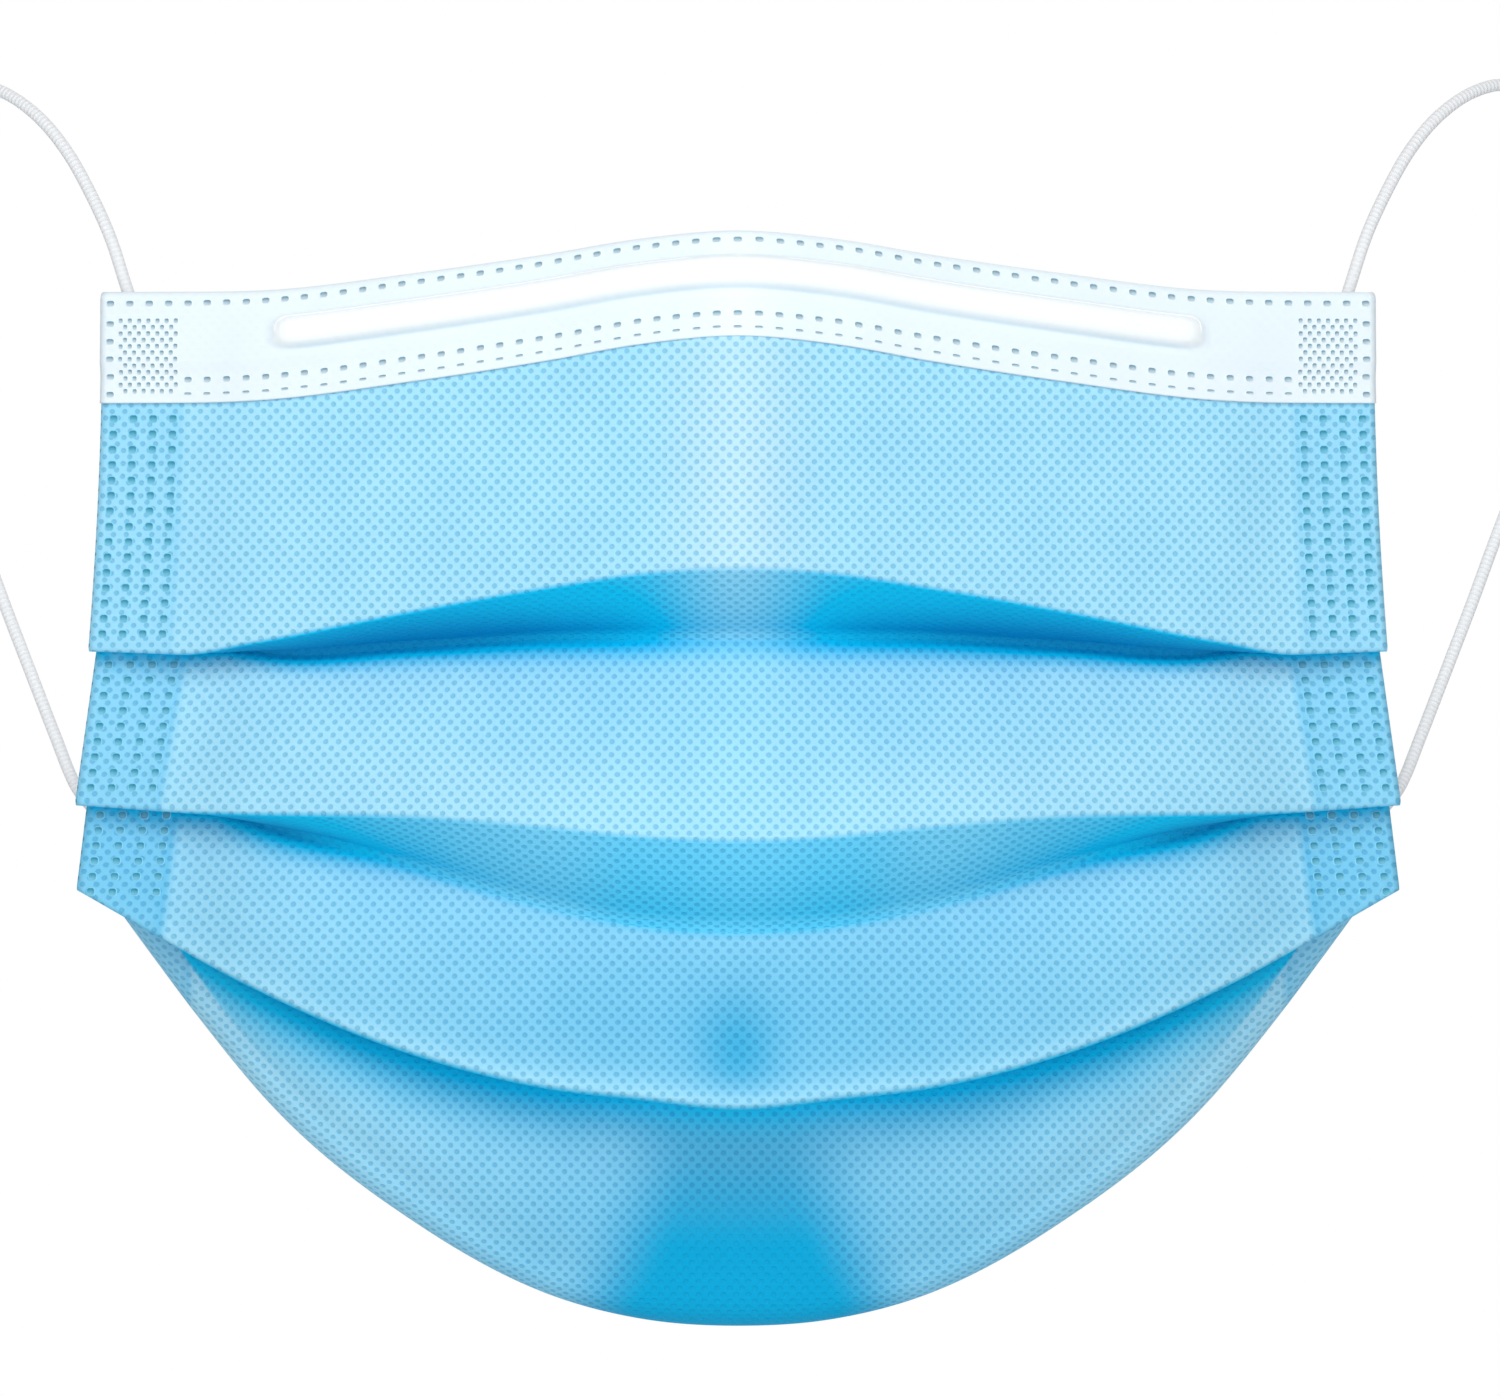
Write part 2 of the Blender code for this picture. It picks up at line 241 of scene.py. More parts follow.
whiteTint = {
    "cloth": (0.750, 0.840, 0.890),
    "cloud": (0.765, 0.855, 0.900),
    # painted highlight along the top of the raised ridge over the wire
    "ridge": (0.880, 0.920, 0.930),
    # painted shadow, a thin blue-grey line under the wire's ridge
    "line": (0.620, 0.760, 0.850),
    "bond": (0.78, 0.84, 0.87),
}
innerTint = {
    "cloth": (0.860, 0.885, 0.900),
    "cloud": (0.880, 0.900, 0.915),
    "bond": (0.84, 0.87, 0.89),
}


def clothPlace(finish):
    uv = finish.node("ShaderNodeUVMap", {"uv_map": "cloth"})
    metres = finish.move("SCALE", uv)
    metres.socket.node.inputs["Scale"].default_value = uvSpan
    across, down, _ = finish.parts(metres)
    return metres, across, down


def bondDots(across, down):
    # 1 in the staggered point bonds, 0 in the loose fibres between them
    def cell(shift):
        x = ((across / bonding["across"] + shift) % 1.0 - 0.5) * (bonding["across"] / bonding["dotWide"])
        y = ((down / bonding["down"] + shift) % 1.0 - 0.5) * (bonding["down"] / bonding["dotHigh"])
        return x * x + y * y

    return cell(0.0).least(cell(0.5)).step(0.45, 1.55, 1.0, 0.0)


def nonwoven(name, tint, dotShare, sink):
    finish = Finish(name, 0.6, specular=0.10)
    metres, across, down = clothPlace(finish)
    fibre = finish.noise(metres, 2600.0, 3.0, 0.6)
    cloud = finish.noise(metres, 90.0, 3.0, 0.55)
    wandered = across + (cloud - 0.5) * bonding["wanderAcross"]
    dots = bondDots(wandered, down + (fibre - 0.5) * bonding["wanderDown"])
    shown = dots * dotShare * (0.7 + fibre * 0.6)
    colour = finish.blend(cloud.step(0.30, 0.70), tint["cloth"], tint["cloud"])
    for part in ("ridge", "line", "pale", "strip", "dusk"):
        if part in tint:
            colour = finish.blend(finish.attribute(part), colour, tint[part])
    if "fold" in tint:
        # painted shade in the pleats
        paintedFoldShade = finish.attribute("fold")
        colour = finish.blend((paintedFoldShade / tint["shadeFrom"]).clamped(), colour, tint["fold"])
        colour = finish.blend(paintedFoldShade.step(tint["shadeFrom"], 1.0), colour, tint["shade"])
        shown = shown * paintedFoldShade.step(0.64, 0.76, 1.0, 0.2)  # the bonds fade where the painted fold shade is darkest
        # the bonds also fade under the thickest painted shade
        shown = shown * finish.attribute("dusk").step(0.85, 1.0, 1.0, 0.1)
    colour = finish.blend(shown, colour, tint["bond"], "MULTIPLY")
    finish.feed("Base Color", colour)
    finish.feed("Roughness", 0.50 + fibre * 0.20 - dots * 0.10)
    finish.bump((fibre - 0.5) * 0.30 + cloud * 0.25 - dots, sink)
    return finish.material


# the sheet that both the panel and the band follow

mask = {
    "width": 0.1600,  # between the side edges
    "height": 0.1314,
    "depth": 0.0440,
    "flatWidth": 0.1750,
    "flatLength": 0.1700,
    "ply": 0.00050,  # all plies together, pressed
    "layer": 0.00085,  # from one layer of a fold to the next
    "setBack": 0.0023,  # each pleat stands behind the one above it
    "pleat": 0.0120,
    "bulge": 0.0016,
    "chinRadius": 0.0080,
    "halfColumns": 74,
    "panelRows": 16,
    "bendRows": 4,
    "returnRows": 7,
    "chinRows": 8,
    "hemRows": 5,
    "returnSag": 0.0006,
    "rowCrowding": 1.4,  # rows of a panel are closer together below a pleat
}
flatRun = {"fold": 0.0013, "return": 0.0120, "tuck": 0.0018}  # lengths down the flat sheet
stations = (0.0, 0.15, 0.30, 0.50, 0.75, 0.86, 1.0)
drops = {
    "top": (0.000, 0.007, 0.021, 0.037, 0.053, 0.054, 0.054),
    "fold1": (0.307, 0.312, 0.325, 0.346, 0.375, 0.386, 0.384),
    "fold2": (0.555, 0.551, 0.542, 0.533, 0.531, 0.530, 0.525),
    "fold3": (0.798, 0.789, 0.778, 0.747, 0.684, 0.650, 0.603),
    "chin": (1.010, 1.004, 0.981, 0.919, 0.801, 0.723, 0.608),
    "hem": (0.981, 0.975, 0.954, 0.898, 0.785, 0.712, 0.615),
}
reaches = {
    "top": (0.800, 0.705, 0.580, 0.420, 0.205, 0.115, 0.000),
    "fold1": (1.000, 0.900, 0.750, 0.540, 0.270, 0.135, 0.000),
    "fold2": (1.000, 0.950, 0.845, 0.650, 0.330, 0.150, 0.000),
    "fold3": (0.880, 0.860, 0.780, 0.620, 0.330, 0.155, 0.000),
    "chin": (0.470, 0.500, 0.480, 0.400, 0.200, 0.080, 0.000),
    "hem": (0.260, 0.270, 0.250, 0.150, -0.060, -0.180, -0.320),
}
# how far each pleat's return runs back and up from its fold, as shares of the pleat
# it gapes in the middle, is gathered up towards the strips and lies pressed flat at the edge
runsBack = {
    "fold1": (0.80, 0.80, 0.75, 0.54, 0.27, 0.16, 0.02),
    "fold2": (0.59, 0.60, 0.66, 0.62, 0.27, 0.16, 0.02),
    "fold3": (0.62, 0.64, 0.68, 0.62, 0.38, 0.22, 0.02),
}
runsUp = {
    "fold1": (-0.60, -0.56, -0.42, -0.25, 0.02, 0.26, 1.00),
    "fold2": (-0.81, -0.79, -0.71, -0.42, 0.02, 0.26, 1.00),
    "fold3": (0.12, 0.12, 0.13, 0.14, 0.16, 0.36, 1.00),
}
tuckRoom = (1.0, 1.0, 1.0, 1.2, 1.6, 1.7, 1.7)
shades = {  # how much painted shade each return gets, a deep blue where little light gets in
    "fold1": (0.38, 0.74, 0.86, 0.97, 1.00, 0.92, 0.85),
    "fold2": (0.50, 0.54, 0.42, 0.60, 0.94, 0.90, 0.85),
    "fold3": (0.70, 0.74, 0.78, 0.84, 0.90, 0.92, 0.84),
}
shadeRuns = {  # how far that painted shade runs on below the pleat, in mm
    "fold1": (2.2, 2.2, 2.2, 1.8, 1.5, 1.4, 1.0),
    "fold2": (0.4, 0.4, 0.4, 0.9, 2.4, 1.8, 1.0),
    "fold3": (3.8, 4.2, 5.2, 6.0, 6.8, 6.0, 2.4),
}
swells = {
    "panel1": (0.9, 0.8, 0.7, 0.7, 0.6, 0.1, 0.0),
    "panel2": (0.9, 1.0, 1.0, 0.9, 0.6, 0.1, 0.0),
    "panel3": (0.1, 0.3, 0.5, 0.7, 0.6, 0.1, 0.0),
    "panel4": (-0.4, 0.5, 1.2, 1.2, 0.7, 0.1, 0.0),
}
halfWidths = {
    "top": 0.955,
    "fold1": 0.976,
    "tuck1": 0.945,
    "fold2": 0.996,
    "tuck2": 0.962,
    "fold3": 0.994,
    "tuck3": 0.958,
    "chin": 0.945,
    "hem": 0.936,
}
topHeight = mask["height"] / 2


def eased(line, share):
    # value of a table line at a share of the half width, by a cubic that never overshoots its stations
    x = np.array(stations)
    y = np.array(line)
    gap = np.diff(x)
    secant = np.diff(y) / gap
    inner = (secant[:-1] * gap[1:] + secant[1:] * gap[:-1]) / (gap[:-1] + gap[1:])
    limit = np.where(secant[:-1] * secant[1:] > 0, 3 * np.minimum(abs(secant[:-1]), abs(secant[1:])), 0.0)
    slope = np.concatenate([[0.0], np.clip(inner, -limit, limit), [secant[-1]]])
    at = min(abs(share), 1.0)
    i = min(int(np.searchsorted(x, at, side="right")) - 1, len(gap) - 1)
    t = (at - x[i]) / gap[i]
    rise = y[i + 1] - y[i]
    start, end = gap[i] * slope[i], gap[i] * slope[i + 1]
    return y[i] + t * (start + t * (3 * rise - 2 * start - end + t * (start + end - 2 * rise)))


def heading(angle):
    return np.array([math.sin(angle), math.cos(angle)])  # depth and height, 0 is up and it turns backwards


def linePlace(name, share, layer):
    depth = layer * mask["setBack"] - mask["depth"] * eased(reaches[name], share)
    return np.array([depth, topHeight - mask["height"] * eased(drops[name], share)])


def bend(start, at, end, count):
    steps = np.linspace(0, 1, count, endpoint=False)
    return [(1 - t) ** 2 * start + 2 * t * (1 - t) * at + t * t * end for t in steps]


def unit(step):
    return step / np.linalg.norm(step)


def foldOver(before, first, second, after):
    # a fold turns at two corners and is as round as they are apart
    across = unit(second - first)
    radius = np.linalg.norm(second - first) / 2
    reaching = []
    for come, leave in ((unit(first - before), across), (across, unit(after - second))):
        turned = math.acos(max(-1.0, min(1.0, float(come @ leave))))
        reaching.append(min(radius * math.tan(turned / 2), radius * 1.2))
    start = first - unit(first - before) * reaching[0]
    end = second + unit(after - second) * reaching[1]
    middle = (first + second) / 2
    count = mask["bendRows"]
    return bend(start, first, middle, count) + bend(middle, second, end, count) + [end]


def sheetProfile(share, topGap):
    # rows from the top edge down: depth, height, half width share, painted fold shade and place down the
    # cloth
    ends = [linePlace(f"fold{n}", share, i) for i, n in enumerate("123")] + [linePlace("chin", share, 3)]
    start = linePlace("top", share, 0) - np.array([0.0, topGap])
    startWidth, shade = halfWidths["top"], None
    rows = []
    for i, n in enumerate("123"):
        away = np.array([eased(runsBack[f"fold{n}"], share), eased(runsUp[f"fold{n}"], share)])
        opened = math.atan2(*away)
        second = ends[i] + mask["layer"] * heading((math.pi + opened) / 2)
        tuck = second + mask["pleat"] * away
        onward = math.atan2(*(ends[i + 1] - tuck)) % (2 * math.pi)
        beyond = tuck + mask["layer"] * eased(tuckRoom, share) * heading((opened + onward) / 2)
        foldRows = foldOver(start, ends[i], second, tuck)
        tuckRows = foldOver(second, tuck, beyond, ends[i + 1])
        foldWidth, tuckWidth = halfWidths[f"fold{n}"], halfWidths[f"tuck{n}"]
        rows += panelRows(start, foldRows[0], startWidth, foldWidth, f"panel{n}", share, shade)
        down = topHeight - foldRows[0][1]
        pleatShade = eased(shades[f"fold{n}"], share)
        last = len(foldRows) - 1
        # painted shade round each fold, along its return and in its tuck
        for k, p in enumerate(foldRows):
            turned = min(max(0.0, k / last - 0.25) / 0.45, 1.0)
            rows.append((*p, foldWidth, pleatShade * 0.85 * turned, down + flatRun["fold"] * k / last))
        down += flatRun["fold"]
        for k in range(1, mask["returnRows"]):
            t = k / mask["returnRows"]
            sag = mask["returnSag"] * math.sin(math.pi * t)
            point = foldRows[-1] + (tuckRows[0] - foldRows[-1]) * t + heading(opened + math.pi / 2) * sag
            paintedFoldShade = min(pleatShade * (0.85 + 0.3 * t), 1.0)
            rows.append((*point, foldWidth + (tuckWidth - foldWidth) * t, paintedFoldShade, down + flatRun["return"] * t))
        down += flatRun["return"]
        rows += [(*p, tuckWidth, pleatShade, down + flatRun["tuck"] * k / last) for k, p in enumerate(tuckRows)]
        start, startWidth = tuckRows[-1], tuckWidth
        shade = (pleatShade, min(ends[i][1], tuckRows[-1][1]), eased(shadeRuns[f"fold{n}"], share) / 1000)
    hem = linePlace("hem", share, 3)
    longest = 0.45 * min(np.linalg.norm(ends[-1] - start), np.linalg.norm(hem - ends[-1]))
    come, leave = unit(ends[-1] - start), unit(hem - ends[-1])
    turned = math.acos(max(-1.0, min(1.0, float(come @ leave))))
    reach = min(mask["chinRadius"] * math.tan(turned / 2), longest)
    chinStart, chinEnd = ends[-1] - come * reach, ends[-1] + leave * reach
    rows += panelRows(start, chinStart, startWidth, halfWidths["chin"], "panel4", share, shade)
    down = topHeight - chinStart[1]
    chinRun, count = 2 * reach, mask["chinRows"]
    for k, p in enumerate(bend(chinStart, ends[-1], chinEnd, count)):
        rows.append((*p, halfWidths["chin"], 0.0, down + chinRun * k / count))
    turnedIn = hem - chinEnd
    for t in np.linspace(0, 1, mask["hemRows"]):
        width = halfWidths["chin"] + (halfWidths["hem"] - halfWidths["chin"]) * t
        rows.append((*(chinEnd + turnedIn * t), width, 0.0, down + chinRun + np.linalg.norm(turnedIn) * t))
    return rows


def panelRows(start, end, startWidth, endWidth, name, share, shade):
    along = end - start
    length = np.linalg.norm(along)
    forward = np.array([along[1], -along[0]]) / length
    rise = mask["bulge"] * eased(swells[name], share)
    isTop = name == "panel1"
    power = 2 if isTop else 1
    rows = []
    for k in range(0 if isTop else 1, mask["panelRows"]):
        t = (k / mask["panelRows"]) ** (1.0 if isTop else mask["rowCrowding"])
        point = start + along * t + forward * rise * 4 * t * (1 - t)
        # painted shade running on below the pleat above
        paintedFoldShade = shade[0] * math.exp(-((max(shade[1] - point[1], 0.0) / shade[2]) ** 2)) if shade else 0.0
        rows.append((*point, startWidth + (endWidth - startWidth) * t**power, paintedFoldShade, topHeight - point[1]))
    return rows


def shareColumns():
    # shares of the half width, a little closer together at the middle and at the edges
    count = mask["halfColumns"]
    half = [0.5 * (1 - math.cos(math.pi * k / count)) for k in range(count + 1)]
    half = [0.75 * k / count + 0.25 * h for k, h in enumerate(half)]
    return [-share for share in reversed(half[1:])] + half


def gridMesh(name, points, uv, attributes=None, below=None):
    # points are columns from left to right, each from the top down
    # below is what the faces under a row take as its uv
    points = np.array(points)
    across, down = points.shape[:2]
    index = np.arange(across * down).reshape(across, down)
    quads = np.stack([index[:-1, :-1], index[:-1, 1:], index[1:, 1:], index[1:, :-1]], axis=-1).reshape(-1, 4)
    mesh = bpy.data.meshes.new(name)
    mesh.from_pydata(points.reshape(-1, 3).tolist(), [], quads.tolist())
    layer = mesh.uv_layers.new(name="cloth")
    corners = np.empty(len(mesh.loops), dtype=np.int32)
    mesh.loops.foreach_get("vertex_index", corners)

    def perFace(values):
        return np.array(values, dtype=np.float32).reshape(-1, 2)[corners].reshape(-1, 4, 2)

    places = perFace(uv)
    if below is not None:
        places[:, (0, 3)] = perFace(below)[:, (0, 3)]
    layer.data.foreach_set("uv", places.ravel())
    for key, values in (attributes or {}).items():
        made = mesh.attributes.new(key, "FLOAT", "POINT")
        made.data.foreach_set("value", np.array(values, dtype=np.float32).ravel())
    mesh.shade_smooth()
    return mesh


def pieceFrom(name, mesh, materials=()):
    piece = bpy.data.objects.new(name, mesh)
    bpy.context.scene.collection.objects.link(piece)
    for material in materials:
        mesh.materials.append(material)
    return piece


def plainMesh(piece):
    # the evaluated result becomes the piece's own mesh
    graph = bpy.context.evaluated_depsgraph_get()
    shown = piece.evaluated_get(graph)
    mesh = bpy.data.meshes.new_from_object(shown, preserve_all_data_layers=True, depsgraph=graph)
    old = piece.data
    piece.modifiers.clear()
    if piece.type == "MESH":
        piece.data = mesh
        bpy.data.meshes.remove(old)
        return piece
    made = bpy.data.objects.new(piece.name, mesh)
    bpy.context.scene.collection.objects.link(made)
    name = piece.name
    bpy.data.objects.remove(piece)
    made.name = name
    return made


def thicken(piece, thickness, inner):
    # a wall to both sides of the surface, with the material at inner on its back
    wall = piece.modifiers.new("wall", "SOLIDIFY")
    wall.thickness = thickness
    wall.offset = 0.0
    wall.material_offset = inner
    plainMesh(piece)


def uvOf(across, down):
    return np.stack([across / uvSpan + 0.5, down / uvSpan], axis=-1)


# soft hollows: panel, distance from the middle, height, half size across and down, how far in,
# and how much painted shade lies there, or how much painted highlight where it is negative
hollows = [
    (1, 0.0, 0.0368, 0.0075, 0.0300, -0.0002, -0.66),
    (2, 0.0, 0.0090, 0.0380, 0.0110, 0.0, 0.18),
    (2, 0.0300, -0.0010, 0.0200, 0.0045, -0.0002, -0.15),
    (3, 0.0, -0.0200, 0.0900, 0.0400, 0.0, 0.30),
    (3, 0.0, -0.0300, 0.0370, 0.0110, 0.0005, 0.40),
    (3, 0.0, -0.0328, 0.0050, 0.0060, 0.0009, 0.72),
    (4, 0.0, -0.0460, 0.0420, 0.0150, 0.0004, 0.38),
    (4, 0.0, -0.0590, 0.0380, 0.0120, 0.0, 0.46),
]
# painted shade under the chin
chinShade = {
    "from": -0.0424,  # height of its top
    "run": 0.0210,
    "topHalf": 0.0108,
    "bottomHalf": 0.0182,
    "soft": 0.0062,
    "least": 0.45,
    "growth": 1.6,
    "hemFade": (0.8, 0.2),  # the turned-in hem is in its own light
}
stripTints = (0.25, 0.50, 0.66, 0.5)
stripEdge = {"from": 0.870, "run": 0.006, "line": 0.874, "lineHalf": 0.005, "lineShare": 0.45}
rimRun = 0.0022  # height of the rim above a pleat's edge where the painted shade thins, a painted light rim


def panelStarts():
    # first row of each panel in the profile
    bends = 2 * (2 * mask["bendRows"] + 1) + mask["returnRows"] - 1
    first = mask["panelRows"]
    return [0, first + bends, 2 * first - 1 + 2 * bends, 3 * first - 2 + 3 * bends]


def makePanel(blue, inner):
    shares = shareColumns()
    table = np.array([sheetProfile(share, band["lift"] + mask["ply"]) for share in shares])
    depthHeight, widths, paintedFoldShade, down = table[:, :, :2], table[:, :, 2], table[:, :, 3], table[:, :, 4]
    x = np.array(shares)[:, None] * widths * mask["width"] / 2
    points = np.concatenate([x[:, :, None], depthHeight], axis=-1)
    across = np.repeat(np.array(shares)[:, None], down.shape[1], axis=1)
    starts = panelStarts()
    count = points.shape[1]
    sink, pale, dusk = (np.zeros(paintedFoldShade.shape) for _ in range(3))
    stripTint = np.zeros(count)
    for panel, (first, tint) in enumerate(zip(starts, stripTints)):
        last = starts[panel + 1] if panel < 3 else count
        stripTint[first:last] = tint
        for where, x0, z0, wide, high, depth, shade in hollows:
            if where == panel + 1:
                side, height = abs(points[:, first:last, 0]), points[:, first:last, 2]
                near = np.exp(-(((side - x0) / wide) ** 2) - ((height - z0) / high) ** 2)
                sink[:, first:last] += depth * near
                # the painted shade thins towards the third pleat's edge, leaving a painted light rim
                if panel == 2:
                    near *= np.clip((height - height[:, mask["panelRows"] - 1, None]) / rimRun, 0.3, 1)
                # a negative value paints a highlight, a positive one paints shade
                if shade < 0:
                    pale[:, first:last] -= shade * near
                else:
                    dusk[:, first:last] += shade * near * (1 - dusk[:, first:last])
    points[:, :, 1] += sink
    # painted shade under the chin, widening downwards
    c, low = chinShade, points[:, starts[3] :]
    into = np.clip((c["from"] - low[:, :, 2]) / c["run"], 0, 1)
    half = c["topHalf"] + (c["bottomHalf"] - c["topHalf"]) * into**2
    edge = np.clip((half - abs(low[:, :, 0])) / (2 * c["soft"]) + 0.5, 0, 1)
    edge = edge * edge * (3 - 2 * edge) * (c["least"] + (1 - c["least"]) * np.clip(into * c["growth"], 0, 1))
    hemRows = mask["hemRows"] - 1
    edge[:, -hemRows:] *= np.linspace(*c["hemFade"], hemRows)
    dusk[:, starts[3] :] += edge * (1 - dusk[:, starts[3] :])
    s = stripEdge
    strip = np.clip((abs(across) - s["from"]) / s["run"], 0, 1) * stripTint
    strip += s["lineShare"] * np.exp(-(((abs(across) - s["line"]) / s["lineHalf"]) ** 2)) * stripTint
    shown = {"fold": paintedFoldShade, "dusk": dusk, "pale": pale, "strip": np.clip(strip, 0, 1)}
    flatAcross = across * mask["flatWidth"] / 2
    below = down.copy()
    lastRows = [start - 1 for start in starts[1:]]
    below[:, lastRows] = topHeight - points[:, lastRows, 2]
    mesh = gridMesh("pleated_panel", points, uvOf(flatAcross, down), shown, uvOf(flatAcross, below))
    panel = pieceFrom("pleated_panel", mesh, (blue, inner))
    thicken(panel, mask["ply"], 1)
    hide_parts("face_panel")
    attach(panel, "root")
    print("panel", len(panel.data.polygons), "faces")
    return shares, points


# the nose band

band = {
    "height": 0.0134,
    "foldBack": 0.0045,  # what is folded over to the inner side
    "ply": 0.00035,
    "lift": 0.00070,  # its middle above the panel's middle
    "weldedLift": 0.00046,  # the same along its lower edge, where it is welded down
    "wireDrop": 0.0054,
    "wireLength": 0.1260,
    "ridgeHalf": 0.00165,
    "ridgeRise": 0.00110,
    "ridgeEdge": 6,  # the higher, the steeper its sides
    "lineDrop": 0.00195,  # from the wire's middle down to the thin painted shadow under the ridge
    "lineHalf": 0.00030,
    "lineFade": 0.004,
    "lineShare": 0.8,
    "weldFrom": 0.0085,  # how far down it starts to settle on the panel
    "weldRun": 0.0015,
    "rows": 72,
    "backRows": 8,
    "turns": (150, 120, 90, 60, 30),  # degrees round the fold
    "uvStart": 0.01,
}


def topSurface(shares, distances):
    # points and outward normals of the upper panel at distances below its own top edge
    points = np.empty((len(shares), len(distances), 3))
    for i, share in enumerate(shares):
        rows = np.array(sheetProfile(share, band["lift"] + mask["ply"])[: mask["panelRows"]])
        at = np.concatenate([[0.0], np.cumsum(np.linalg.norm(np.diff(rows[:, :2], axis=0), axis=1))])
        reach = np.maximum(distances, 0.0)
        for k in (0, 1):
            points[i, :, k + 1] = np.interp(reach, at, rows[:, k])
        points[i, :, 0] = share * np.interp(reach, at, rows[:, 2]) * mask["width"] / 2
        above = np.minimum(distances, 0.0)[:, None] * (rows[1, :2] - rows[0, :2]) / at[1]
        points[i, :, 1:] += above
    acrossStep = np.gradient(points, axis=0)
    downStep = np.gradient(points, axis=1)
    normals = np.cross(downStep, acrossStep)
    return points, normals / np.linalg.norm(normals, axis=-1, keepdims=True)


def ridgeRise(across, drop):
    # the raised line over the wire, with rounded ends
    end = band["wireLength"] / 2 - band["ridgeHalf"]
    past = np.maximum(abs(across) - end, 0.0)
    away = np.hypot(past, drop - band["wireDrop"]) / band["ridgeHalf"]
    return np.exp(-(away ** band["ridgeEdge"]) * 0.7)


def paintedRidgeShadow(across, drop):
    # the thin painted shadow along the ridge's lower edge
    reach = np.clip((band["wireLength"] / 2 - abs(across)) / band["lineFade"], 0.0, 1.0)
    past = (drop - band["wireDrop"] - band["lineDrop"]) / band["lineHalf"]
    return band["lineShare"] * reach * np.exp(-(past**2))


def makeBand(white):
    shares = shareColumns()
    top = band["lift"] + band["ply"] / 2  # the panel's own edge is this far under the fold
    foot = band["height"] - top
    front = np.linspace(0.0, foot, band["rows"])
    turns = [math.radians(a) for a in band["turns"]]
    back = np.linspace(band["foldBack"], 0.0, band["backRows"])
    distances = np.concatenate([back, [-band["lift"] * math.sin(a) for a in turns], front])
    order = np.sort(np.unique(np.round(distances, 9)))
    points, normals = topSurface(shares, order)
    across = np.array(shares) * mask["flatWidth"] / 2
    columns, uv, patch, patchUv, ridgeHighlights, ridgeShadows = [], [], [], [], [], []

    def nearest(distance):
        return np.argmin(abs(order - distance))

    for i in range(len(shares)):
        column, places, ridge = [], [], [0.0] * (len(back) + len(turns))
        line = ridge.copy()
        for distance in back:
            k = nearest(distance)
            column.append(points[i, k] - normals[i, k] * band["lift"])
            places.append(-distance)
        for angle in turns:
            k = nearest(-band["lift"] * math.sin(angle))
            column.append(points[i, k] + normals[i, k] * band["lift"] * math.cos(angle))
            places.append(0.0)
        for distance in front:
            k = nearest(distance)
            rise = ridgeRise(across[i], distance + top)
            settled = min(max((distance + top - band["weldFrom"]) / band["weldRun"], 0.0), 1.0)
            lift = band["lift"] + (band["weldedLift"] - band["lift"]) * settled
            column.append(points[i, k] + normals[i, k] * (lift + band["ridgeRise"] * rise))
            places.append(distance + top)
            ridge.append(rise)
            line.append(paintedRidgeShadow(across[i], distance + top))
        columns.append(column)
        ridgeHighlights.append(ridge)
        ridgeShadows.append(line)
        uv.append([(across[i] / uvSpan + 0.5, (place + band["uvStart"]) / uvSpan) for place in places])
        face = zip(column[-len(front) :], front)
        patch.append([point + normals[i, nearest(distance)] * band["ply"] / 2 for point, distance in face])
        patchUv.append([(across[i], distance + top) for distance in front])
    # the ridge values paint a highlight on the ridge top, the line values a thin painted shadow under it
    mesh = gridMesh("nose_fold", columns, uv, {"ridge": ridgeHighlights, "line": ridgeShadows})
    piece = pieceFrom("nose_fold", mesh, (white,))
    thicken(piece, band["ply"], 0)
    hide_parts("nose_band")
    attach(piece, "root")
    print("band", len(piece.data.polygons), "faces")
    return gridMesh("bandFace", patch, patchUv)


# weld marks, laid out on a surface by Geometry Nodes


def newTree(name, inputs):
    tree = bpy.data.node_groups.new(name, "GeometryNodeTree")
    tree.interface.new_socket("Geometry", in_out="OUTPUT", socket_type="NodeSocketGeometry")
    tree.interface.new_socket("Geometry", in_out="INPUT", socket_type="NodeSocketGeometry")
    for label, kind in inputs:
        tree.interface.new_socket(label, in_out="INPUT", socket_type=f"NodeSocket{kind}")
    graph = Graph(tree)
    entry = tree.nodes.new("NodeGroupInput")
    given = {socket.name: Field(graph, socket) for socket in entry.outputs if socket.name}
    return graph, given


def finishTree(graph, geometry, material):
    whole = graph.node("GeometryNodeRealizeInstances", values={"Geometry": geometry})
    coated = graph.node("GeometryNodeSetMaterial", values={"Geometry": whole, "Material": material})
    leave = graph.tree.nodes.new("NodeGroupOutput")
    graph.tree.links.new(coated.socket, leave.inputs[0])
    return graph.tree


def runTree(piece, tree, values):
    modifier = piece.modifiers.new(tree.name, "NODES")
    modifier.node_group = tree
    for item in tree.interface.items_tree:
        if item.in_out == "INPUT" and item.name in values:
            modifier[item.identifier] = values[item.name]
    return plainMesh(piece)


markCommon = {
    "seed": 3,
    "wobble": 0.00003,
    "rim": 0.00007,  # height of a mark's rim
    "reach": 0.0004,  # how far to each side the surface is felt, to turn a mark along it
}


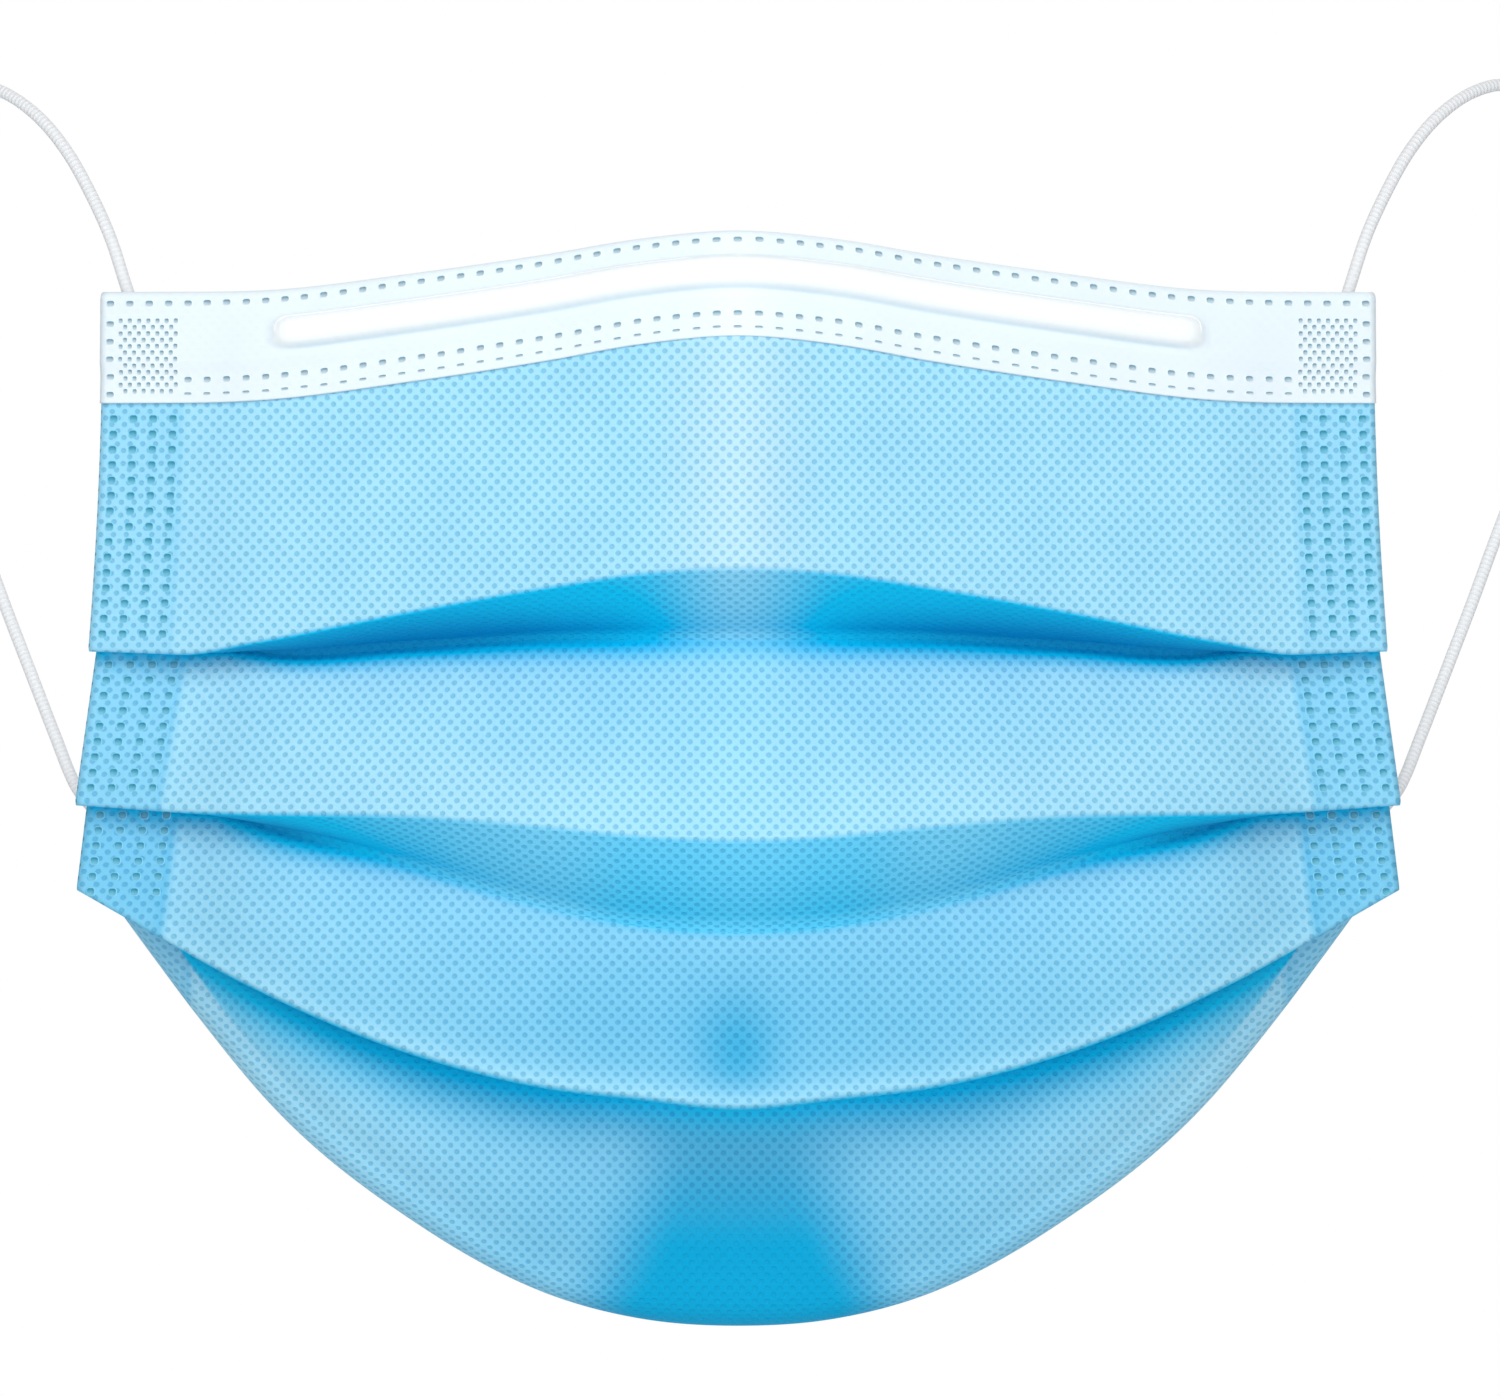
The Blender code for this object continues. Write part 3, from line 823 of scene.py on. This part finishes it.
def markTree():
    lengths = ["Rim", "Wobble"]
    lengths += ["First Across", "First Down", "Pitch Across", "Pitch Down", "Mark Width", "Mark Height"]
    inputs = [("Mark", "Object"), ("Material", "Material")]
    inputs += [(label, "Int") for label in ("Columns", "Rows", "Seed")]
    graph, given = newTree("weldMarks", inputs + [(label, "Float") for label in lengths])
    count = given["Columns"] * given["Rows"]
    points = graph.node("GeometryNodePoints", values={"Count": count})
    index = graph.node("GeometryNodeInputIndex")
    row = (index / given["Columns"] + 0.0001).floor()
    column = index - row * given["Columns"]

    def wobble(extra):
        values = {"Min": -1.0, "Max": 1.0, "ID": index, "Seed": given["Seed"] + extra}
        return graph.node("FunctionNodeRandomValue", {"data_type": "FLOAT"}, values) * given["Wobble"]

    across = given["First Across"] + column * given["Pitch Across"] + wobble(0)
    down = given["First Down"] + row * given["Pitch Down"] + wobble(7)
    uv = graph.node("GeometryNodeInputNamedAttribute", {"data_type": "FLOAT_VECTOR"}, {"Name": "cloth"})

    def sample(value, place, output="Value"):
        values = {"Mesh": given["Geometry"], "UV Map": uv, "Sample UV": place, "Value": value}
        return graph.node("GeometryNodeSampleUVSurface", {"data_type": "FLOAT_VECTOR"}, values, output)

    position = graph.node("GeometryNodeInputPosition")
    place = graph.vector(across, down)
    here = sample(position, place)
    valid = sample(position, place, "Is Valid")
    beside = sample(position, graph.vector(across + markCommon["reach"], down))
    before = sample(position, graph.vector(across - markCommon["reach"], down))
    outward = sample(graph.node("GeometryNodeInputNormal"), place)
    upright = graph.node("FunctionNodeAlignRotationToVector", {"axis": "Z"}, {"Vector": outward})
    turned = graph.node(
        "FunctionNodeAlignRotationToVector",
        {"axis": "X", "pivot_axis": "Z"},
        {"Rotation": upright, "Vector": graph.move("SUBTRACT", beside, before)},
    )
    placed = graph.node("GeometryNodeSetPosition", values={"Geometry": points, "Position": here})
    mark = graph.node("GeometryNodeObjectInfo", values={"Object": given["Mark"]}, output="Geometry")
    size = graph.vector(given["Mark Width"], given["Mark Height"], given["Rim"])
    values = {"Points": placed, "Selection": valid, "Instance": mark, "Rotation": turned, "Scale": size}
    marks = graph.node("GeometryNodeInstanceOnPoints", values=values)
    return finishTree(graph, marks, given["Material"])


def markShape():
    # one pressed mark, a unit wide, high and deep: a low rim round a dip in the weld's own darker colour,
    # with painted shade on its upper side
    mesh = bpy.data.meshes.new("mark")
    rings = ((0.58, -0.30, 0.0), (0.54, 0.80, 0.0), (0.48, 1.0, 0.55), (0.41, 0.15, 1.0))  # size, height, dip: how much of the weld's darker colour and painted shade
    corner = ((1, 0.55), (0.80, 0.80), (0.55, 1))
    corners = [*corner, *((-x, y) for x, y in reversed(corner))]
    corners += [(-x, -y) for x, y in corners]
    verts, faces, weldDipsAndShade = [], [], []
    for size, height, dip in rings:
        for x, y in corners:
            verts.append((x * size, y * size, height))
            # the upper half of the dip takes painted shade, the lower half is left lighter
            weldDipsAndShade.append(dip if y > 0 else dip * 0.45)
    count = len(corners)
    for ring in range(len(rings) - 1):
        for k in range(count):
            a, b = ring * count + k, ring * count + (k + 1) % count
            faces.append((a, b, b + count, a + count))
    faces.append(tuple(range(len(verts) - count, len(verts))))
    mesh.from_pydata(verts, [], faces)
    made = mesh.attributes.new("dip", "FLOAT", "POINT")
    made.data.foreach_set("value", weldDipsAndShade)
    mesh.shade_smooth()
    return pieceFrom("mark", mesh)


def markSet(name, tree, mark, patch, material, groups):
    # several groups of marks on one surface, joined
    joined = bmesh.new()
    for group in groups:
        piece = pieceFrom(name, patch.copy())
        common = {label.title(): markCommon[label] for label in ("seed", "wobble", "rim")}
        runTree(piece, tree, {"Mark": mark, "Material": material, **common, **group})
        joined.from_mesh(piece.data)
        bpy.data.objects.remove(piece)
    mesh = bpy.data.meshes.new(name)
    joined.to_mesh(mesh)
    joined.free()
    mesh.shade_smooth()
    piece = pieceFrom(name, mesh, (material,))
    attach(piece, "root")
    print(name, len(mesh.polygons), "faces")
    return piece


def block(first, down, pitch, columns, size, rows=1, pitchDown=0.001):
    # a block of marks in even rows, as the tree's inputs
    return {
        "First Across": first,
        "First Down": down,
        "Pitch Across": pitch,
        "Pitch Down": pitchDown,
        "Columns": columns,
        "Rows": rows,
        "Mark Width": size[0],
        "Mark Height": size[1],
    }


def weldFinish(name, rim, dip):
    finish = Finish(name, 0.6, specular=0.12)
    where = finish.node("ShaderNodeTexCoord", output="Object")
    fibre = finish.noise(where, 2500.0, 2.0)
    colour = finish.blend(finish.attribute("dip"), rim, dip)
    colour = finish.blend(fibre * 0.25, colour, rim)
    finish.feed("Base Color", colour)
    finish.feed("Roughness", 0.5 + fibre * 0.3)
    finish.bump(fibre, 0.00003)
    return finish.material


bandMarks = {
    "pitch": 0.00269,  # along the flat band
    "size": (0.00102, 0.00066),
    "thinSize": (0.00102, 0.00032),
    # drop of each row, how many marks it has to each side of the middle, and their size
    "rows": ((0.00140, 32, "size"), (0.0106, 28, "size"), (0.0123, 28, "thinSize")),
    "side": 0.0861,  # the column at each end of the band
    "sideDrop": 0.00385,
    "sideRows": 5,
    "sidePitch": 0.00212,
    "diamond": 0.0770,  # the patch of small marks at each end, two blocks of them that interlock
    "diamondDrop": 0.0035,
    "diamondColumns": (7, 6),
    "diamondRows": 6,
    "diamondPitch": 0.00127,
    "diamondLevel": 0.00077,
    "diamondSize": (0.00056, 0.00056),
}
stripMarks = {
    "first": 0.886,  # share of the half width
    "pitch": 0.0312,
    "columns": 4,
    "rowPitch": 0.00185,
    "runs": ((0.0430, 15), (0.0134, 9), (-0.0047, 6)),  # each panel's first row's height, and how many rows
    "size": (0.00106, 0.00090),
}
weldTints = {
    "band": ((0.77, 0.86, 0.90), (0.07, 0.22, 0.31)),  # rim, dip: the weld's own darker colour with painted shade
    "strip": ((0.26, 0.66, 0.87), (0.0, 0.20, 0.31)),
}


def makeBandMarks(tree, mark, patch, material):
    b = bandMarks
    groups = []
    for drop, half, size in b["rows"]:
        groups.append(block(-b["pitch"] * half, drop, b["pitch"], 2 * half + 1, b[size]))
    for sign in (-1, 1):
        side = (sign * b["side"], b["sideDrop"], b["pitch"], 1, b["size"])
        groups.append(block(*side, b["sideRows"], b["sidePitch"]))
        pitch, level = sign * b["diamondPitch"], b["diamondLevel"]
        for k, columns in enumerate(b["diamondColumns"]):
            first = (sign * b["diamond"] + k * pitch / 2, b["diamondDrop"] + k * level)
            groups.append(block(*first, pitch, columns, b["diamondSize"], b["diamondRows"], 2 * level))
    piece = markSet("band_welds", tree, mark, patch, material, groups)


def makeStripMarks(tree, mark, shares, points, material):
    # each panel's front surface is laid out by width share and height, so that rows stay level
    s = stripMarks
    normals = np.cross(np.gradient(points, axis=1), np.gradient(points, axis=0))
    normals /= np.maximum(np.linalg.norm(normals, axis=-1, keepdims=True), 1e-12)
    outer = points + normals * mask["ply"] / 2
    for n, (start, (first, count)) in enumerate(zip(panelStarts(), s["runs"]), 1):
        part = outer[:, start : start + mask["panelRows"] + 2]
        across = np.repeat(np.array(shares)[:, None], part.shape[1], axis=1)
        uv = np.stack([across * mask["flatWidth"] / 2, -part[:, :, 2]], axis=-1)
        patch = gridMesh("strip", part, uv)
        pitch = s["pitch"] * mask["flatWidth"] / 2
        groups = []
        for sign in (-1, 1):
            inner = sign * s["first"] * mask["flatWidth"] / 2
            groups.append(block(inner, -first, sign * pitch, s["columns"], s["size"], count, s["rowPitch"]))
        piece = markSet(f"strip_welds_{n}", tree, mark, patch, material, groups)


# the ear loops

cord = {
    "diameter": 0.0015,
    "length": 0.167,
    "sides": 14,
    "steps": 220,
    "tab": 0.006,  # length of the flattened end under the weld
    "squeeze": 0.62,  # how much flatter and how much wider the end is there
    "spread": 0.30,
    "knit": 0.00062,  # one rib of the knitted cover
    "ribTints": ((0.71, 0.72, 0.74), (0.78, 0.79, 0.80)),
    "fibreTint": (0.82, 0.83, 0.84),
}
cordRoute = [
    (-0.0703, -0.0019, 0.0485),
    (-0.0718, -0.0001, 0.0535),
    (-0.0736, 0.0016, 0.0587),
    (-0.0757, 0.0038, 0.0651),
    (-0.0785, 0.0074, 0.0711),
    (-0.0812, 0.0104, 0.0757),
    (-0.0845, 0.0138, 0.0796),
    (-0.0886, 0.0180, 0.0825),
    (-0.0930, 0.0226, 0.0835),
    (-0.0975, 0.0277, 0.0815),
    (-0.1008, 0.0326, 0.0765),
    (-0.1024, 0.0367, 0.0692),
    (-0.1020, 0.0386, 0.0612),
    (-0.1004, 0.0386, 0.0530),
    (-0.0979, 0.0368, 0.0450),
    (-0.0948, 0.0337, 0.0368),
    (-0.0914, 0.0295, 0.0280),
    (-0.0886, 0.0257, 0.0205),
    (-0.0852, 0.0211, 0.0118),
    (-0.0824, 0.0171, 0.0047),
    (-0.0800, 0.0136, -0.0011),
    (-0.0775, 0.0101, -0.0043),
    (-0.0753, 0.0083, -0.0072),
    (-0.0735, 0.0073, -0.0097),
]


def through(route, count):
    # even steps on a smooth curve through the route's own points
    route = [np.array(point) for point in route]
    ends = [2 * route[0] - route[1], *route, 2 * route[-1] - route[-2]]
    fine = []
    for a, b, c, d in zip(ends, ends[1:], ends[2:], ends[3:]):
        for t in np.linspace(0, 1, 20, endpoint=False):
            square, cube = (2 * a - 5 * b + 4 * c - d) * t**2, (3 * b - a - 3 * c + d) * t**3
            fine.append(0.5 * (2 * b + (c - a) * t + square + cube))
    fine = np.array([*fine, route[-1]])
    at = np.concatenate([[0.0], np.cumsum(np.linalg.norm(np.diff(fine, axis=0), axis=1))])
    return [[float(np.interp(s, at, fine[:, k])) for k in range(3)] for s in np.linspace(0, at[-1], count)]


def cordTree():
    inputs = [("Radius", "Float"), ("Sides", "Int"), ("Steps", "Int"), ("Tab", "Float")]
    graph, given = newTree("elasticCord", [*inputs, ("Flat Towards", "Vector"), ("Material", "Material")])
    values = {"Curve": given["Geometry"], "Count": given["Steps"]}
    even = graph.node("GeometryNodeResampleCurve", values=values)
    along = graph.node("GeometryNodeSplineParameter", output="Length")
    whole = graph.node("GeometryNodeSplineParameter", output="Factor")
    length = along / whole.most(0.0001)
    fromEnd = along.least(length - along) * whole.step(0.0, 0.0001)
    position = graph.node("GeometryNodeInputPosition")

    def store(geometry, label, value, kind="FLOAT"):
        values = {"Geometry": geometry, "Name": label, "Value": value}
        return graph.node("GeometryNodeStoreNamedAttribute", {"data_type": kind}, values)

    def read(label, kind="FLOAT"):
        return graph.node("GeometryNodeInputNamedAttribute", {"data_type": kind}, {"Name": label})

    marked = store(even, "along", along)
    marked = store(marked, "press", fromEnd / given["Tab"])
    marked = store(marked, "middle", position, "FLOAT_VECTOR")
    values = {"Resolution": given["Sides"], "Radius": given["Radius"]}
    ring = graph.node("GeometryNodeCurvePrimitiveCircle", values=values)
    values = {"Curve": marked, "Profile Curve": ring, "Fill Caps": True}
    tube = graph.node("GeometryNodeCurveToMesh", values=values)
    out = graph.move("SUBTRACT", position, read("middle", "FLOAT_VECTOR"))
    towards = graph.move("NORMALIZE", given["Flat Towards"])
    facing = graph.node("ShaderNodeVectorMath", {"operation": "DOT_PRODUCT"}, {0: out, 1: towards}, "Value")
    pressed = read("press").step(0.55, 1.1, 1.0, 0.0)

    def scaled(vector, scale):
        return graph.node("ShaderNodeVectorMath", {"operation": "SCALE"}, {"Vector": vector, "Scale": scale})

    squeeze = scaled(towards, facing * pressed * -cord["squeeze"])
    moved = graph.move("ADD", squeeze, scaled(out, pressed * cord["spread"]))
    flattened = graph.node("GeometryNodeSetPosition", values={"Geometry": tube, "Offset": moved})
    shaded = graph.node("GeometryNodeSetShadeSmooth", values={"Geometry": flattened, "Shade Smooth": True})
    return finishTree(graph, shaded, given["Material"])


def elasticFinish():
    finish = Finish("knittedElastic", 0.75, sheen=0.2, specular=0.3)
    where = finish.node("ShaderNodeTexCoord", output="Object")
    fibre = finish.noise(where, 1800.0, 3.0)
    along = finish.attribute("along")
    ribs = ((along + (fibre - 0.5) * 0.0003) * (2 * math.pi / cord["knit"])).sine() * 0.5 + 0.5
    colour = finish.blend(ribs, *cord["ribTints"])
    colour = finish.blend(fibre * 0.4, colour, cord["fibreTint"])
    finish.feed("Base Color", colour)
    finish.feed("Roughness", 0.65 + fibre * 0.25)
    finish.bump(ribs * 0.8 + fibre * 0.5, 0.00008)
    return finish.material


def makeCord(side, tree, material):
    name = "ear_cord_left" if side > 0 else "ear_cord_right"
    points = through([(side * x, y, z) for x, y, z in cordRoute], 80)
    curve = bpy.data.curves.new(name, "CURVE")
    curve.dimensions = "3D"
    spline = curve.splines.new("POLY")
    spline.points.add(len(points) - 1)
    for point, where in zip(spline.points, points):
        point.co = (*where, 1.0)
    piece = bpy.data.objects.new(name, curve)
    bpy.context.scene.collection.objects.link(piece)
    values = {
        "Radius": cord["diameter"] / 2,
        "Sides": cord["sides"],
        "Steps": cord["steps"],
        "Tab": cord["tab"],
        "Flat Towards": (-0.45 * side, -0.89, 0.0),
        "Material": material,
    }
    piece = runTree(piece, tree, values)
    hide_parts("ear_loop_left" if side > 0 else "ear_loop_right")
    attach(piece, "root")
    print(name, len(piece.data.polygons), "faces")


# the wire, which stays the CAD piece under the band

wireTints = ((0.82, 0.83, 0.85), (0.90, 0.91, 0.92))


def coatedWire():
    finish = Finish("coatedWire", 0.4, specular=0.4)
    where = finish.node("ShaderNodeTexCoord", output="Object")
    mottle = finish.noise(where, 400.0, 3.0)
    finish.feed("Base Color", finish.blend(mottle, *wireTints))
    finish.feed("Roughness", 0.35 + mottle * 0.2)
    finish.bump(mottle, 0.00002)
    return finish.material


# floor and light


def makeStudio():
    height, size = studio["floorHeight"], studio["floorSize"]
    back = size * studio["floorBack"]
    mesh = bpy.data.meshes.new("floor")
    corners = [(-size, -size, height), (size, -size, height), (size, back, height), (-size, back, height)]
    mesh.from_pydata(corners, [], [(0, 1, 2, 3)])
    finish = Finish("paleFloor", 0.9, specular=0.2)
    where = finish.node("ShaderNodeTexCoord", output="Object")
    finish.feed("Base Color", finish.blend(finish.noise(where, 6.0), *studio["floorTints"]))
    pieceFrom("floor", mesh, (finish.material,))

    for name in ("key", "glint", "fill", "back"):
        areaLight(name, studio[f"{name}Place"], studio[f"{name}Size"], studio[f"{name}Power"])
    world = bpy.data.worlds.new("studio")
    bpy.context.scene.world = world
    world.use_nodes = True
    graph = Graph(world.node_tree)
    graph.tree.nodes.clear()
    seen = graph.node("ShaderNodeLightPath", output="Is Camera Ray")
    lit = []
    for name in ("sky", "backdrop"):
        values = {"Color": studio[f"{name}Colour"], "Strength": studio[name]}
        lit.append(graph.node("ShaderNodeBackground", values=values))
    both = graph.node("ShaderNodeMixShader", values={0: seen, 1: lit[0], 2: lit[1]})
    graph.node("ShaderNodeOutputWorld", values={"Surface": both})
    bpy.context.scene.view_settings.view_transform = "Standard"
    bpy.context.scene.view_settings.look = "None"


setCamera()
elastic = elasticFinish()
cords = cordTree()
for side in (1, -1):
    makeCord(side, cords, elastic)
makeStudio()
blueCloth = nonwoven("blueNonwoven", blueTint, 0.75, 0.00006)
innerCloth = nonwoven("innerNonwoven", innerTint, 0.5, 0.00006)
bandCloth = nonwoven("bandNonwoven", whiteTint, 0.04, 0.00001)
panelShares, panelPoints = makePanel(blueCloth, innerCloth)
bandPatch = makeBand(bandCloth)
marks = markTree()
mark = markShape()
makeBandMarks(marks, mark, bandPatch, weldFinish("bandWeld", *weldTints["band"]))
stripWeld = weldFinish("stripWeld", *weldTints["strip"])
makeStripMarks(marks, mark, panelShares, panelPoints, stripWeld)
bpy.data.objects.remove(mark)
wire = coatedWire()
for slot in bpy.data.objects["nose_wire"].material_slots:
    slot.material = wire
print("wire finished")
